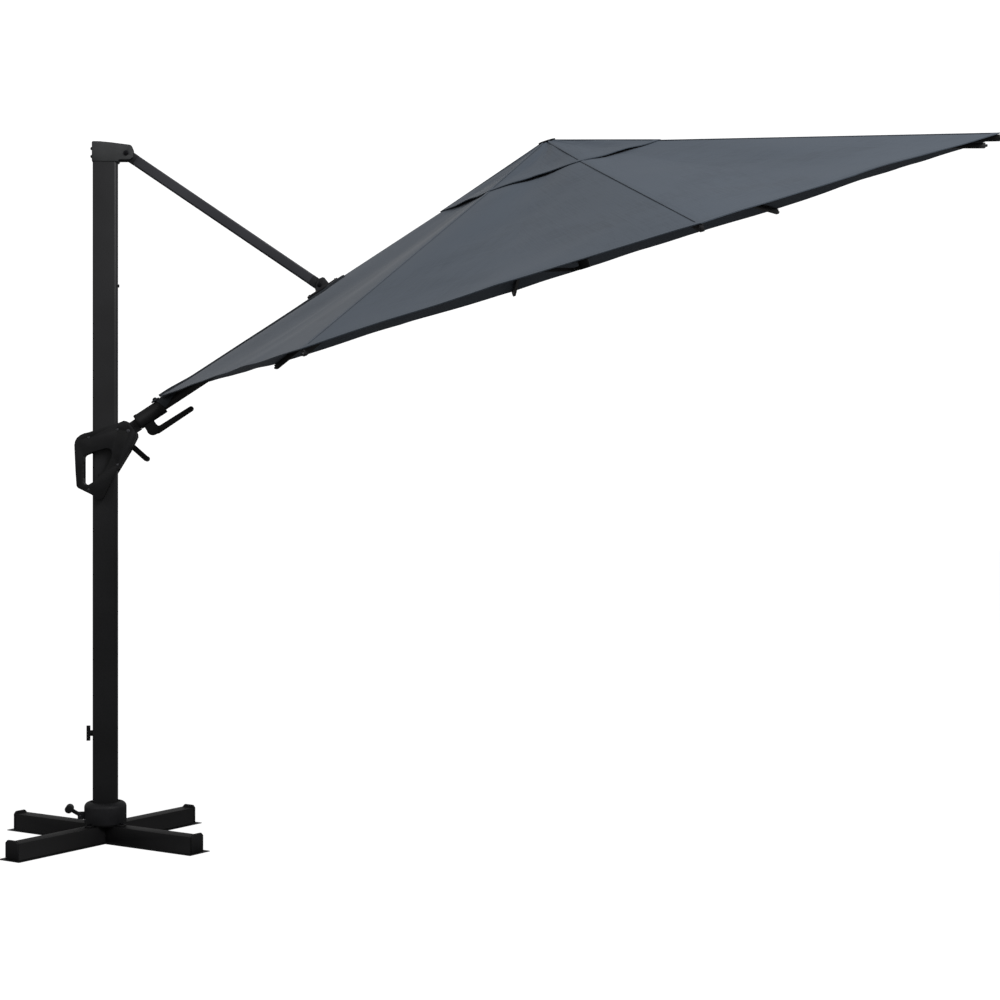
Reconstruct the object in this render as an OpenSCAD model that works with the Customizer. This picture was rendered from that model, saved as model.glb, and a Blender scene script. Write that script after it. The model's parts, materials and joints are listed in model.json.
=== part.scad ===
// Cantilever parasol: cross foot, swivelling mast, strut, twisting boom and a folding octagonal canopy.
// Frame: Z up, origin on the ground under the mast axis, +X along the boom, sizes in millimetres.
// The boom, its strut and the carriage lie in the XZ plane.

/* [Cross foot] */
// Length of each crossed bar, bottom flange included
foot_length = 960; // [860:10:1240]
// Width of a bar's bottom flange
flange_w = 108; // [84:2:112]
// Width of a bar's box section
bar_w = 60; // [50:1:66]
// Height of a bar
bar_h = 63; // [50:1:76]
// Sheet thickness of the bars
sheet = 3; // [2:0.5:4]
// Turn of the cross foot about the mast
foot_turn = 5.2; // [0:0.2:45]
// Outer radius of the socket that carries the mast
socket_r = 79; // [76:1:94]
// Height of the socket
socket_h = 80; // [74:1:100]

/* [Mast] */
// Width of the mast along the boom
mast_w = 92; // [80:1:96]
// Depth of the mast across the boom
mast_d = 60; // [50:1:64]
// Wall thickness of the mast
mast_wall = 3; // [2:0.5:4]
// Corner radius of the mast
mast_corner = 12; // [8:1:16]
// Height of the strut pivot above the ground
strut_pivot_z = 2613; // [2600:1:2640]
// Height of the locking knob above the ground
knob_z = 410; // [300:10:900]

/* [Strut] */
// Distance between the strut's two pivots
strut_length = 879; // [870:1:890]
// Slope of the strut below the horizontal
strut_slope = 33.75; // [33:0.05:35]
// Depth of the strut
strut_h = 40; // [34:1:40]
// Width of the strut
strut_w = 24; // [20:1:25]
// Diameter of the pivot pins
pin_d = 12; // [10:1:14]

/* [Boom] */
// Height of the carriage pivot above the ground
carriage_pivot_z = 1557; // [1540:1:1570]
// Slope of the boom above the horizontal
boom_slope = 33.85; // [33:0.05:35]
// Twist of the boom and canopy about the boom axis
boom_twist = 3.7; // [0:0.1:8]
// Outer diameter of the boom tube
boom_d = 38; // [34:1:40]
// Wall thickness of the boom tube
boom_wall = 2.5; // [2:0.5:4]
// Distance from the carriage pivot to the canopy pivot along the boom
boom_reach = 1904; // [1850:1:1960]

/* [Canopy] */
// Radius of the octagon, measured to a rib's tip
canopy_r = 1741; // [1700:1:1760]
// Rise of the canopy from its rim to its top
canopy_rise = 500; // [440:5:560]
// Radius of the vent flap
flap_r = 486; // [420:2:560]
// Radius of the vent opening under the flap
vent_r = 350; // [260:2:400]
// Thickness of the fabric layers
fabric_t = 1; // [1:0.5:3]
// Width of a rib
rib_w = 14; // [12:1:16]
// Depth of a rib
rib_h = 22; // [18:1:24]
// Distance from a rib's pivot to its stay's pivot
stay_length = 760; // [700:5:800]

/* [Carriage] */
// Depth of the carriage across the boom
carriage_d = 116; // [104:2:130]
// Clearance between carriage and mast in the plane of the boom
carriage_gap = 7; // [7:0.5:9]

/* [Hidden] */
$fn = 48;
cut = 1;                       // how far a cutter runs past a face
fit = 0.05;                    // radial clearance of a turning pin
gap = 0.4;                     // clearance between parts that move past each other

// Mechanism points in the XZ plane
strut_pivot_x = 80;
carriage_pivot_x = 90;
boom_offset = 12;              // the boom axis runs this far above the carriage pivot
pin_r = pin_d / 2;
bracket_x = carriage_x(strut_pivot_x + strut_length * cos(strut_slope),
                       strut_pivot_z - strut_length * sin(strut_slope));
bracket_z = carriage_z(strut_pivot_x + strut_length * cos(strut_slope),
                       strut_pivot_z - strut_length * sin(strut_slope)) - boom_offset;

// Position along the boom and above it, seen from the carriage pivot
function carriage_x(x, z) =
    (x - carriage_pivot_x) * cos(boom_slope) + (z - carriage_pivot_z) * sin(boom_slope);
function carriage_z(x, z) =
    -(x - carriage_pivot_x) * sin(boom_slope) + (z - carriage_pivot_z) * cos(boom_slope);

// Cross foot
cap_t = 9;
cap_rise = 10;                 // an end cap stands this far above its bar
lip = 12;                      // the flange runs on this far past the end cap
plate_t = 7;
plate_r = socket_r - 6;
socket_z = bar_h + plate_t;
socket_top = socket_z + socket_h;
floor_t = 20;
bearing_t = 6;
well_r = 57;
spigot_r = 25;
foot_z = socket_z + floor_t + bearing_t;
mast_bottom = foot_z + 4;
mast_top = strut_pivot_z + 21;
pedal_x = -(socket_r + 13);
pedal_z = socket_z + 28;
pedal_pin_r = 4;

// Canopy geometry in the hub's frame: Z along the canopy axis, origin where the rib lines meet
rib_slope = atan(canopy_rise / canopy_r);
hub_r = 45;
rib_drop = 34;                 // from the fabric down to the line through a rib's pivots
boom_drop = 33;                // the boom's own pivots lie this much lower
boom_lift = 30;                // the boom axis above the line through its pivots
hub_z = -(rib_drop / cos(rib_slope) + hub_r * tan(rib_slope));
runner_z = hub_z - 2 * stay_length * sin(rib_slope);
rib_axis = 20;                 // a rib's centre line above the line through its pivots
rib_end = (canopy_r - hub_r) / cos(rib_slope) - 12;
rib_pin_r = 3;
rib_wall = 1.5;
rib_plug = 20;
lug_w = 8;
stay_t = 2.5;
stay_h = 14;
RIB_NAMES = ["rib_near_left", "rib_near", "rib_near_right", "rib_outer",
             "rib_far_right", "rib_far", "rib_far_left"];
STAY_NAMES = ["stay_near_left", "stay_near", "stay_near_right", "stay_outer",
              "stay_far_right", "stay_far", "stay_far_left"];
function rib_azimuth(i) = -135 + 45 * i;

// ---- Frames and plain shapes ----

// Along the boom: X runs up the boom, Z points away from it, origin at the carriage pivot
module at_boom() {
    translate([carriage_pivot_x, 0, carriage_pivot_z]) rotate([0, -boom_slope, 0])
        translate([0, 0, boom_offset]) children();
}

// The same frame turned about the boom axis by the twist
module at_twist() {
    at_boom() rotate([boom_twist, 0, 0]) children();
}

// The hub's frame
module at_hub() {
    at_twist() translate([boom_reach, 0, -boom_lift]) rotate([0, rib_slope, 0])
        translate([hub_r, 0, boom_drop - hub_z]) children();
}

// A rib's frame: X along the rib from its pivot outwards
module at_rib(azimuth) {
    at_hub() rotate([0, 0, azimuth]) translate([hub_r, 0, hub_z]) rotate([0, rib_slope, 0])
        children();
}

// A cylinder along Y, centred
module pin_y(r, length) {
    rotate([90, 0, 0]) cylinder(r = r, h = length, center = true);
}

// A cylinder along X from the origin
module rod_x(r, length) {
    rotate([0, 90, 0]) cylinder(r = r, h = length);
}

// A round rod along Z from z0 to z1 with domed ends
module round_rod(r, z0, z1) {
    rotate_extrude() polygon(concat(
        [for (a = [-90:15:0]) [r * cos(a), z0 + r * sin(a)]],
        [for (a = [0:15:90]) [r * cos(a), z1 + r * sin(a)]]));
}

module rounded_rect(w, d, r) {
    square([w - 2 * r, d], center = true);
    square([w, d - 2 * r], center = true);
    for (x = [-1, 1], y = [-1, 1])
        translate([x * (w / 2 - r), y * (d / 2 - r)]) circle(r = r);
}

// An outline drawn in X and Z, extruded along Y from y0 to y1
module slab_y(y0, y1) {
    translate([0, y1, 0]) rotate([90, 0, 0]) linear_extrude(y1 - y0) children();
}

// ---- Cross foot ----

module hat_section() {
    difference() {
        union() {
            translate([-flange_w / 2, 0]) square([flange_w, sheet]);
            translate([-bar_w / 2, 0]) square([bar_w, bar_h]);
        }
        translate([-bar_w / 2 + sheet, -cut]) square([bar_w - 2 * sheet, bar_h - sheet + cut]);
    }
}

// A bar along X between two positions
module foot_bar(x0, x1) {
    translate([x0, 0, 0]) rotate([90, 0, 90]) linear_extrude(x1 - x0) hat_section();
}

bar_half = foot_length / 2 - lip - cap_t;

// A whole bar along X: the box between its end caps, and the flange that runs on past them
module whole_bar() {
    tail = lip + cap_t;
    foot_bar(-bar_half, bar_half);
    for (s = [-1, 1]) translate([s * (bar_half + tail / 2), 0, sheet / 2])
        cube([tail, flange_w, sheet], center = true);
}

// The long bar has a floor under the crossing
module base_bar_long() {
    floor_l = 150;
    color("#37373b") rotate([0, 0, 45 + foot_turn]) {
        whole_bar();
        translate([-floor_l / 2, -bar_w / 2, 0]) cube([floor_l, bar_w, sheet]);
    }
}

// The other bar is two halves that butt against the long one
module half_bar(side) {
    color("#37373b") rotate([0, 0, foot_turn - 45]) difference() {
        whole_bar();
        translate([side > 0 ? -foot_length : 0, -flange_w, -cut])
            cube([foot_length, 2 * flange_w, bar_h + 2 * cut]);
        translate([-bar_w / 2, -flange_w, -cut]) cube([bar_w, 2 * flange_w, bar_h + 2 * cut]);
        translate([-flange_w / 2, -flange_w, -cut]) cube([flange_w, 2 * flange_w, sheet + cut]);
    }
}

module base_bar_left() {
    half_bar(-1);
}

module base_bar_right() {
    half_bar(1);
}

// A cap's outline across the bar, with its top corners cut
module cap_outline() {
    half = bar_w / 2 + 1;
    chamfer = 10;
    top = bar_h + cap_rise;
    polygon([[-half, sheet], [half, sheet], [half, top - chamfer], [half - chamfer, top],
             [chamfer - half, top], [-half, top - chamfer]]);
}

module bar_end_caps() {
    color("#232326") for (a = [45, 135, 225, 315]) rotate([0, 0, a + foot_turn])
        translate([bar_half, 0, 0]) rotate([90, 0, 90]) linear_extrude(cap_t) cap_outline();
}

bolt_circle = socket_r + 8;
bolt_r = 4;

module centre_plate() {
    lug_r = 15;
    color("#2f2f33") translate([0, 0, bar_h]) difference() {
        union() {
            cylinder(r = plate_r, h = plate_t, $fn = 96);
            for (a = [0:90:270]) rotate([0, 0, a + 45 + foot_turn]) {
                translate([0, -lug_r, 0]) cube([bolt_circle, 2 * lug_r, plate_t]);
                translate([bolt_circle, 0, 0]) cylinder(r = lug_r, h = plate_t);
            }
        }
        for (a = [0:90:270]) rotate([0, 0, a + 45 + foot_turn])
            translate([bolt_circle, 0, -cut]) cylinder(r = bolt_r, h = plate_t + 2 * cut);
    }
}

module plate_bolts() {
    head_r = 7;
    head_h = 5;
    color("#3a3a3c") for (a = [0:90:270]) rotate([0, 0, a + 45 + foot_turn]) translate([bolt_circle, 0, 0]) {
        translate([0, 0, socket_z]) cylinder(r = head_r, h = head_h, $fn = 6);
        translate([0, 0, bar_h]) cylinder(r = bolt_r, h = plate_t);
    }
}

module base_socket() {
    shoulder = 20;
    lug_y = 9;
    lug_t = 7;
    color("#2b2b2e") difference() {
        union() {
            rotate_extrude($fn = 96) polygon(concat(
                [[spigot_r, socket_z], [socket_r, socket_z]],
                [for (a = [0:15:90]) [socket_r - shoulder + shoulder * cos(a),
                                      socket_top - shoulder + shoulder * sin(a)]],
                [[well_r, socket_top], [well_r, socket_z + floor_t], [spigot_r, socket_z + floor_t]]));
            for (s = [-1, 1]) translate([pedal_x - 10, s * (lug_y + lug_t / 2) - lug_t / 2, pedal_z - 12])
                cube([24, lug_t, 24]);
        }
        translate([pedal_x, 0, pedal_z]) pin_y(pedal_pin_r, 4 * lug_y);
    }
}

module swivel_bearing() {
    color("#c9c9c4") translate([0, 0, socket_z + floor_t]) difference() {
        cylinder(r = 48, h = bearing_t);
        translate([0, 0, -cut]) cylinder(r = spigot_r + 2, h = bearing_t + 2 * cut);
    }
}

module pedal_pin() {
    color("#a5a5a8") translate([pedal_x, 0, pedal_z]) pin_y(pedal_pin_r, 32);
}

module foot_pedal() {
    arm_w = 16;
    arm_l = 50;
    pad_r = 15;
    color("#1d1d1f") translate([pedal_x, 0, pedal_z]) rotate([0, 32, 0]) difference() {
        union() {
            pin_y(10, arm_w);
            translate([-arm_l, -arm_w / 2, -6]) cube([arm_l, arm_w, 12]);
            translate([-arm_l, 0, 0]) pin_y(pad_r, 46);
        }
        pin_y(pedal_pin_r + fit, arm_w + 2 * cut);
    }
}

// ---- Mast ----

module mast_section(grow) {
    rounded_rect(mast_w + 2 * grow, mast_d + 2 * grow, mast_corner + grow);
}

module mast_tube() {
    color("#343438") translate([0, 0, mast_bottom]) linear_extrude(mast_top - mast_bottom)
        difference() {
            mast_section(0);
            mast_section(-mast_wall);
        }
}

module mast_foot() {
    color("#29292c") difference() {
        union() {
            translate([0, 0, foot_z]) cylinder(r = well_r - 0.5, h = socket_top - 4 - foot_z, $fn = 96);
            translate([0, 0, socket_z + 2]) cylinder(r = spigot_r - fit, h = foot_z - socket_z - 2);
        }
        translate([0, 0, mast_bottom]) linear_extrude(socket_h) mast_section(0);
    }
}

cap_side = 2;
cap_right = strut_pivot_x + 25;
cap_bottom = strut_pivot_z - 33;

module top_cap() {
    left = mast_w / 2 + cap_side;
    nose = cap_bottom + 49;
    nose_r = 16;
    top = cap_bottom + 75;
    slot_top = strut_pivot_z + strut_h / 2 + 4;
    color("#424244") difference() {
        slab_y(-mast_d / 2 - cap_side, mast_d / 2 + cap_side) polygon(concat(
            [[-left, cap_bottom], [mast_w / 2 + 3, cap_bottom], [mast_w / 2 + 7, cap_bottom + 8],
             [cap_right - 12, cap_bottom + 9], [cap_right, cap_bottom + 18], [cap_right, nose]],
            [for (a = [0:15:75]) [cap_right - nose_r * (1 - cos(a)), nose + nose_r * sin(a)]],
            [[mast_w / 4, top - 3], [-left + 30, top], [-left + 5, top], [-left + 1, top - 2], [-left, top - 6]]));
        translate([0, 0, cap_bottom - cut]) linear_extrude(mast_top - cap_bottom + cut) mast_section(0);
        translate([mast_w / 2 + 6, -strut_w / 2 - 1, cap_bottom - cut])
            cube([cap_right, strut_w + 2, slot_top - cap_bottom + cut]);
        translate([strut_pivot_x, 0, strut_pivot_z]) pin_y(pin_r, mast_d + 4 * cap_side);
    }
}

module cap_bolts() {
    head_r = 8;
    head_t = 8;
    color("#3f3f42") for (z = [22, 52]) translate([-mast_w / 2 - cap_side, 0, cap_bottom + z])
        rotate([0, -90, 0]) cylinder(r1 = head_r, r2 = head_r / 2, h = head_t);
}

module strut_pin() {
    head_t = 4;
    half = mast_d / 2 + cap_side;
    color("#9a9a9d") translate([strut_pivot_x, 0, strut_pivot_z]) {
        pin_y(pin_r, 2 * half);
        for (s = [-1, 1]) translate([0, s * (half + head_t / 2), 0]) pin_y(pin_r + 3, head_t);
    }
}

module stop_screw() {
    color("#8d8d90") translate([mast_w / 2, 0, 2111]) rod_x(6, 6);
}

module mast_knob() {
    hub_len = 10;
    wing = 24;
    color("#1b1b1d") translate([-mast_w / 2 - gap, 0, knob_z]) mirror([1, 0, 0]) {
        rod_x(11, hub_len);
        translate([hub_len, -5, -wing]) cube([14, 10, 2 * wing]);
        for (s = [-1, 1]) translate([hub_len, 0, s * wing]) rod_x(5, 14);
    }
}

// ---- Strut ----

module at_strut() {
    translate([strut_pivot_x, 0, strut_pivot_z]) rotate([0, strut_slope, 0]) children();
}

plug = 40;
tube_r = 6;

module strut_tube() {
    color("#3a3a3e") at_strut() translate([plug, 0, 0]) rotate([0, 90, 0])
        linear_extrude(strut_length - 2 * plug) difference() {
            rounded_rect(strut_h, strut_w, tube_r);
            rounded_rect(strut_h - 4, strut_w - 4, tube_r - 2);
        }
}

module strut_ends() {
    color("#2c2c2f") at_strut() for (x = [0, 1]) translate([x * strut_length, 0, 0]) mirror([x, 0, 0])
        difference() {
            union() {
                pin_y(strut_h / 2, strut_w);
                translate([0, -strut_w / 2, -strut_h / 2]) cube([plug, strut_w, strut_h]);
            }
            pin_y(pin_r + fit, strut_w + 2 * cut);
        }
}

// ---- Boom carrier: the bracket and neck that the boom turns in ----

sleeve_r = boom_d / 2 + 3.4;
sleeve_l = 112;
ear_t = 6;
ear_y = strut_w / 2 + 1;
plate_z = 38.5;                // underside of the bracket's plate above the boom axis
plate_top = plate_z + 6.5;
plate_from = -65;
plate_to = 71;

module bracket_ear() {
    rise = plate_top - 1 - bracket_z;
    polygon([[-26, rise], [33, rise], [31, 12], [26, 18], [12, 21], [0, 18], [-20, 0]]);
}

module strut_bracket() {
    base_w = 2 * (ear_y + ear_t);
    neck_half = 12;
    color("#3c3c40") at_boom() difference() {
        union() {
            translate([bracket_x - sleeve_l / 2, 0, 0]) rod_x(sleeve_r, sleeve_l);
            translate([bracket_x - sleeve_l / 2, -neck_half, sleeve_r - 8])
                cube([sleeve_l, 2 * neck_half, plate_z - sleeve_r + 9]);
            translate([bracket_x + plate_from, -base_w / 2, plate_z])
                cube([plate_to - plate_from, base_w, plate_top - plate_z]);
            for (s = [-1, 1]) translate([bracket_x, s * (ear_y + ear_t / 2), bracket_z])
                slab_y(-ear_t / 2, ear_t / 2) bracket_ear();
        }
        translate([bracket_x - sleeve_l, 0, 0]) rod_x(boom_d / 2 + fit, 2 * sleeve_l);
        translate([bracket_x, 0, bracket_z]) pin_y(pin_r, 80);
        translate([bracket_x, 0, bracket_z]) pin_y(strut_h / 2 + 1.5, 2 * ear_y);
        translate([bracket_x, -ear_y, plate_z - 0.5]) cube([plate_to + cut, 2 * ear_y, 30]);
    }
}

module bracket_pin() {
    head_t = 4;
    half = ear_y + ear_t;
    color("#3a3a3c") at_boom() translate([bracket_x, 0, bracket_z]) {
        pin_y(pin_r, 2 * half);
        for (s = [-1, 1]) translate([0, s * (half + head_t / 2), 0]) pin_y(pin_r + 2, head_t);
    }
}

module bracket_screws() {
    color("#3a3a3c") at_boom() for (x = [plate_from + 9, plate_to - 9], s = [-1, 1])
        translate([bracket_x + x, s * (ear_y + ear_t / 2), plate_top]) cylinder(r = 3, h = 2.5);
}

collar_start = 44;
collar_l = 117;
collar_r = 29;
neck_w = 26;

module boom_neck() {
    eye_r = 20;
    color("#2e2e31") at_boom() difference() {
        union() {
            translate([0, 0, -boom_offset]) pin_y(eye_r, neck_w);
            translate([0, -neck_w / 2, -boom_offset - 19]) cube([collar_start - 1, neck_w, 45]);
            rod_x(boom_d / 2 - boom_wall - 0.3, collar_start + 110);
        }
        translate([0, 0, -boom_offset]) pin_y(pin_r + fit, neck_w + 40);
        translate([-40, -20, 19]) cube([80, 40, 40]);
        translate([-60, -20, -20]) cube([40, 40, 60]);
        for (s = [-1, 1]) translate([-40, s * (neck_w / 2 + 20) - 20, -60])
            cube([40 + collar_start - 1, 40, 120]);
    }
}

// ---- Boom ----

module boom_tube() {
    color("#303034") at_twist() translate([collar_start, 0, 0]) difference() {
        rod_x(boom_d / 2, boom_reach - 40 - collar_start);
        translate([-cut, 0, 0]) rod_x(boom_d / 2 - boom_wall, boom_reach);
    }
}

lever_x = 78;
lever_z = -53;
lever_pin_r = 4;

eye_r = 23.5;
lug_y = 9.4;                   // inner face of a lever lug

module boom_collar() {
    lug_t = 5;
    rim = 1.4;
    color("#26262a") at_twist() difference() {
        union() {
            translate([collar_start, 0, 0]) rod_x(collar_r, collar_l);
            translate([collar_start + 3, 0, 0]) rod_x(collar_r + rim, 9);
            for (s = [-1, 1]) translate([lever_x, s * (lug_y + lug_t / 2), lever_z]) {
                pin_y(eye_r - 2, lug_t);
                translate([-eye_r + 2, -lug_t / 2, 0]) cube([2 * eye_r - 4, lug_t, -lever_z - boom_d / 2 - 2]);
            }
            translate([lever_x, 0, lever_z]) pin_y(lever_pin_r, 2 * lug_y + cut);
        }
        rod_x(boom_d / 2, 4 * collar_l);
    }
}

// The lever's outline in X and Z from its pin: a round eye, a bent root and a straight grip
module tilt_lever() {
    thick = 18;
    bend = [14, -14];
    bend_r = 13;
    grip_l = 163;
    grip_drop = 1;
    end_r = 10.5;
    color("#18181a") at_twist() translate([lever_x, 0, lever_z]) difference() {
        union() {
            pin_y(eye_r, thick);
            slab_y(-thick / 2, thick / 2) polygon([[0, -eye_r], [bend.x, bend.y - bend_r],
                [grip_l, bend.y - grip_drop - end_r], [grip_l, bend.y - grip_drop + end_r],
                [bend.x + 16, bend.y + bend_r - 1], [eye_r - 3, 2], [0, 0]]);
            translate([bend.x, 0, bend.y]) pin_y(bend_r, thick);
            translate([grip_l, 0, bend.y - grip_drop]) pin_y(end_r, thick);
        }
        pin_y(lever_pin_r + fit, thick + 2 * cut);
    }
}

module hook_knob() {
    knob_r = 10;
    knob_along = 103;
    color("#1b1b1d") at_twist() translate([collar_start + knob_along, 0, 0]) difference() {
        translate([0, 0, collar_r + knob_r / 2]) round_rod(knob_r, -1, 1);
        translate([-2 * knob_r, 0, 0]) rod_x(collar_r, 4 * knob_r);
    }
}

clevis_l = 52;

module boom_clevis() {
    cheek_y = 9;
    cheek_t = 6;
    stay_x = boom_reach - stay_length;
    color("#2c2c2f") at_twist() difference() {
        union() {
            translate([boom_reach - 40 - clevis_l, 0, 0]) rod_x(boom_d / 2 - boom_wall, clevis_l);
            for (s = [-1, 1]) {
                translate([boom_reach - 40, s * (cheek_y + cheek_t / 2) - cheek_t / 2, -boom_lift - 9])
                    cube([40, cheek_t, boom_lift + 20]);
                translate([boom_reach, s * (cheek_y + cheek_t / 2), -boom_lift]) pin_y(9, cheek_t);
            }
            translate([boom_reach - 40, -cheek_y - cheek_t, -11]) cube([8, 2 * (cheek_y + cheek_t), 22]);
            difference() {
                union() {
                    translate([stay_x, 0, -boom_lift]) pin_y(7, lug_w);
                    translate([stay_x - 7, -lug_w / 2, -boom_lift]) cube([14, lug_w, boom_lift - 10]);
                    translate([stay_x - 16, 0, 0]) rod_x(boom_d / 2 + 3, 32);
                }
                translate([stay_x - 40, 0, 0]) rod_x(boom_d / 2, 80);
                translate([stay_x, 0, -boom_lift]) pin_y(rib_pin_r + fit, lug_w + 2 * cut);
            }
        }
        translate([boom_reach, 0, -boom_lift]) pin_y(rib_pin_r + 1, 60);
    }
}

module clevis_pin() {
    color("#a5a5a8") at_twist() translate([boom_reach, 0, -boom_lift]) pin_y(rib_pin_r + 1, 30);
}

// ---- Hub ----

fork_y = lug_w / 2 + 0.5;
fork_t = 4;

// A pair of lugs round a rib's or stay's eye, in a frame with the pivot at the origin
module fork(depth) {
    for (s = [-1, 1]) {
        translate([0, s * (fork_y + fork_t / 2), 0]) pin_y(7, fork_t);
        translate([-depth, s * (fork_y + fork_t / 2) - fork_t / 2, -7]) cube([depth, fork_t, 14]);
    }
}

crown_r = hub_r - 14;

module hub_crown() {
    color("#1f1f21") at_hub() difference() {
        union() {
            translate([0, 0, hub_z - 9]) cylinder(r = crown_r, h = 24);
            translate([-15, -7, hub_z - boom_drop - 8]) cube([30, 14, boom_drop]);
            for (i = [0:6]) rotate([0, 0, rib_azimuth(i)]) translate([hub_r, 0, hub_z]) fork(16);
            translate([-hub_r, 0, hub_z - boom_drop]) pin_y(9, 2 * 8);
            translate([-hub_r, -8, hub_z - boom_drop - 9]) cube([hub_r + 8, 16, 18]);
        }
        for (i = [0:6]) rotate([0, 0, rib_azimuth(i)]) translate([hub_r, 0, hub_z]) pin_y(rib_pin_r, 30);
        translate([-hub_r, 0, hub_z - boom_drop]) pin_y(rib_pin_r + 1 + fit, 40);
    }
}

module hub_pins() {
    color("#a5a5a8") at_hub() for (i = [0:6]) rotate([0, 0, rib_azimuth(i)])
        translate([hub_r, 0, hub_z]) pin_y(rib_pin_r, 2 * (fork_y + fork_t));
}

post_r = 11;

module centre_post() {
    post_top = hub_z - boom_drop - 9;
    post_end = runner_z + 6;
    color("#4a4a4e") at_hub() {
        translate([0, 0, post_end + 24]) cylinder(r = post_r, h = post_top - post_end - 24);
        translate([0, 0, post_end]) cylinder(r1 = 4, r2 = post_r, h = 24);
    }
}

module finial() {
    stem_top = 4.5;
    color("#232326") at_hub() {
        translate([0, 0, hub_z + 15]) cylinder(r = 16, h = stem_top - hub_z - 15);
        translate([0, 0, stem_top]) cylinder(r = 34, h = 5);
    }
}

// ---- Ribs and stays ----

module rib(azimuth) {
    color("#3a3a3e") at_rib(azimuth) difference() {
        union() {
            difference() {
                translate([-4, -rib_w / 2, rib_axis - rib_h / 2]) cube([rib_end + 4, rib_w, rib_h]);
                translate([rib_plug, rib_wall - rib_w / 2, rib_axis - rib_h / 2 + rib_wall])
                    cube([rib_end, rib_w - 2 * rib_wall, rib_h - 2 * rib_wall]);
            }
            translate([rib_end - rib_plug, rib_wall - rib_w / 2, rib_axis - rib_h / 2 + rib_wall])
                cube([rib_plug, rib_w - 2 * rib_wall, rib_h - 2 * rib_wall]);
            translate([rib_end, 0, rib_axis]) rod_x(rib_w / 2 - rib_wall, 10);
            pin_y(6.5, lug_w);
            translate([-5, -lug_w / 2, 0]) cube([10, lug_w, rib_axis - rib_h / 2]);
            translate([stay_length, 0, 0]) pin_y(6.5, lug_w);
            translate([stay_length - 5, -lug_w / 2, 0]) cube([10, lug_w, rib_axis - rib_h / 2]);
        }
        pin_y(rib_pin_r + fit, lug_w + 2 * cut);
        translate([stay_length, 0, 0]) pin_y(rib_pin_r + fit, lug_w + 2 * cut);
    }
}

// A stay in a frame with the rib's pivot at the origin, closed at the far end by an eye
module stay_body() {
    inner = fork_y;
    bar_l = stay_length - 26;
    for (s = [-1, 1]) {
        translate([0, s * (inner + stay_t / 2), 0]) pin_y(stay_h / 2, stay_t);
        translate([0, s * (inner + stay_t / 2) - stay_t / 2, -stay_h / 2]) cube([30, stay_t, stay_h]);
    }
    pin_y(rib_pin_r, 2 * (inner + stay_t));
    difference() {
        translate([20, -inner - stay_t, -stay_h / 2]) cube([bar_l - 20, 2 * (inner + stay_t), stay_h]);
        translate([24, -inner, -stay_h / 2 - cut])
            cube([bar_l - 28, 2 * inner, stay_h - stay_t + cut]);
    }
    difference() {
        union() {
            translate([stay_length, 0, 0]) pin_y(6.5, lug_w);
            translate([bar_l - cut, -lug_w / 2, -6.5]) cube([stay_length - bar_l + cut, lug_w, 13]);
        }
        translate([stay_length, 0, 0]) pin_y(rib_pin_r + fit, lug_w + 2 * cut);
    }
}

module stay(azimuth) {
    color("#36363a") at_rib(azimuth) translate([stay_length, 0, 0])
        rotate([0, 180 - 2 * rib_slope, 0]) mirror([0, 0, 1]) stay_body();
}

module stay_boom() {
    color("#36363a") at_twist() translate([boom_reach - stay_length, 0, -boom_lift])
        rotate([0, 2 * rib_slope, 0]) stay_body();
}

module runner() {
    color("#1f1f21") at_hub() difference() {
        union() {
            translate([0, 0, runner_z - 9]) cylinder(r = crown_r, h = 18);
            for (i = [0:6]) rotate([0, 0, rib_azimuth(i)]) translate([hub_r, 0, runner_z]) fork(16);
            translate([0, 0, runner_z - boom_drop - 9]) cylinder(r = 22, h = boom_drop + 4);
            translate([0, 0, runner_z - boom_drop]) rotate([0, 0, 180]) translate([hub_r, 0, 0]) fork(26);
        }
        for (i = [0:6]) rotate([0, 0, rib_azimuth(i)]) translate([hub_r, 0, runner_z]) pin_y(rib_pin_r, 30);
        translate([-hub_r, 0, runner_z - boom_drop]) pin_y(rib_pin_r, 30);
        translate([0, 0, runner_z - 2]) cylinder(r = post_r + 1, h = 40);
    }
}

module runner_pins() {
    color("#a5a5a8") at_hub() {
        for (i = [0:6]) rotate([0, 0, rib_azimuth(i)])
            translate([hub_r, 0, runner_z]) pin_y(rib_pin_r, 2 * (fork_y + fork_t));
        translate([-hub_r, 0, runner_z - boom_drop]) pin_y(rib_pin_r, 2 * (fork_y + fork_t));
    }
}

// ---- Carriage ----

channel_x = mast_w / 2 + carriage_gap;
channel_y = mast_d / 2 + 3;
grip_inner = -channel_x - 26;
trigger_z = carriage_pivot_z - 178;
trigger_h = 64;
trigger_travel = 5;
neck_gap = neck_w / 2 + 1;
PIVOT = [carriage_pivot_x, carriage_pivot_z];

module carriage_outline() {
    polygon([for (p = [[-190, -26], [-197, -38], [-200, -54], [-196, -148], [-192, -208], [-186, -216],
                       [-136, -241], [-124, -250], [-116, -257], [-107, -260], [-98, -257], [-90, -248],
                       [-55, -173], [3, -76], [30, -21], [29, -8], [22, 4], [3, 29], [-6, 37], [-17, 39],
                       [-42, 28], [-128, 1], [-149, -6], [-163, -9], [-178, -16]]) PIVOT + p]);
}

// The triangular hole that leaves a grip bar on the left and shows the mast on the right
module hand_hole() {
    inner = grip_inner - carriage_pivot_x;
    polygon([for (p = [[inner, -99], [inner + 4, -92], [inner + 14, -87], [-128, -78], [-83, -65],
                       [-71, -66], [-63, -72], [-60, -82], [-62, -100], [-86, -148], [-126, -190],
                       [inner + 22, -203], [inner + 8, -204], [inner, -196]]) PIVOT + p]);
}

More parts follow.
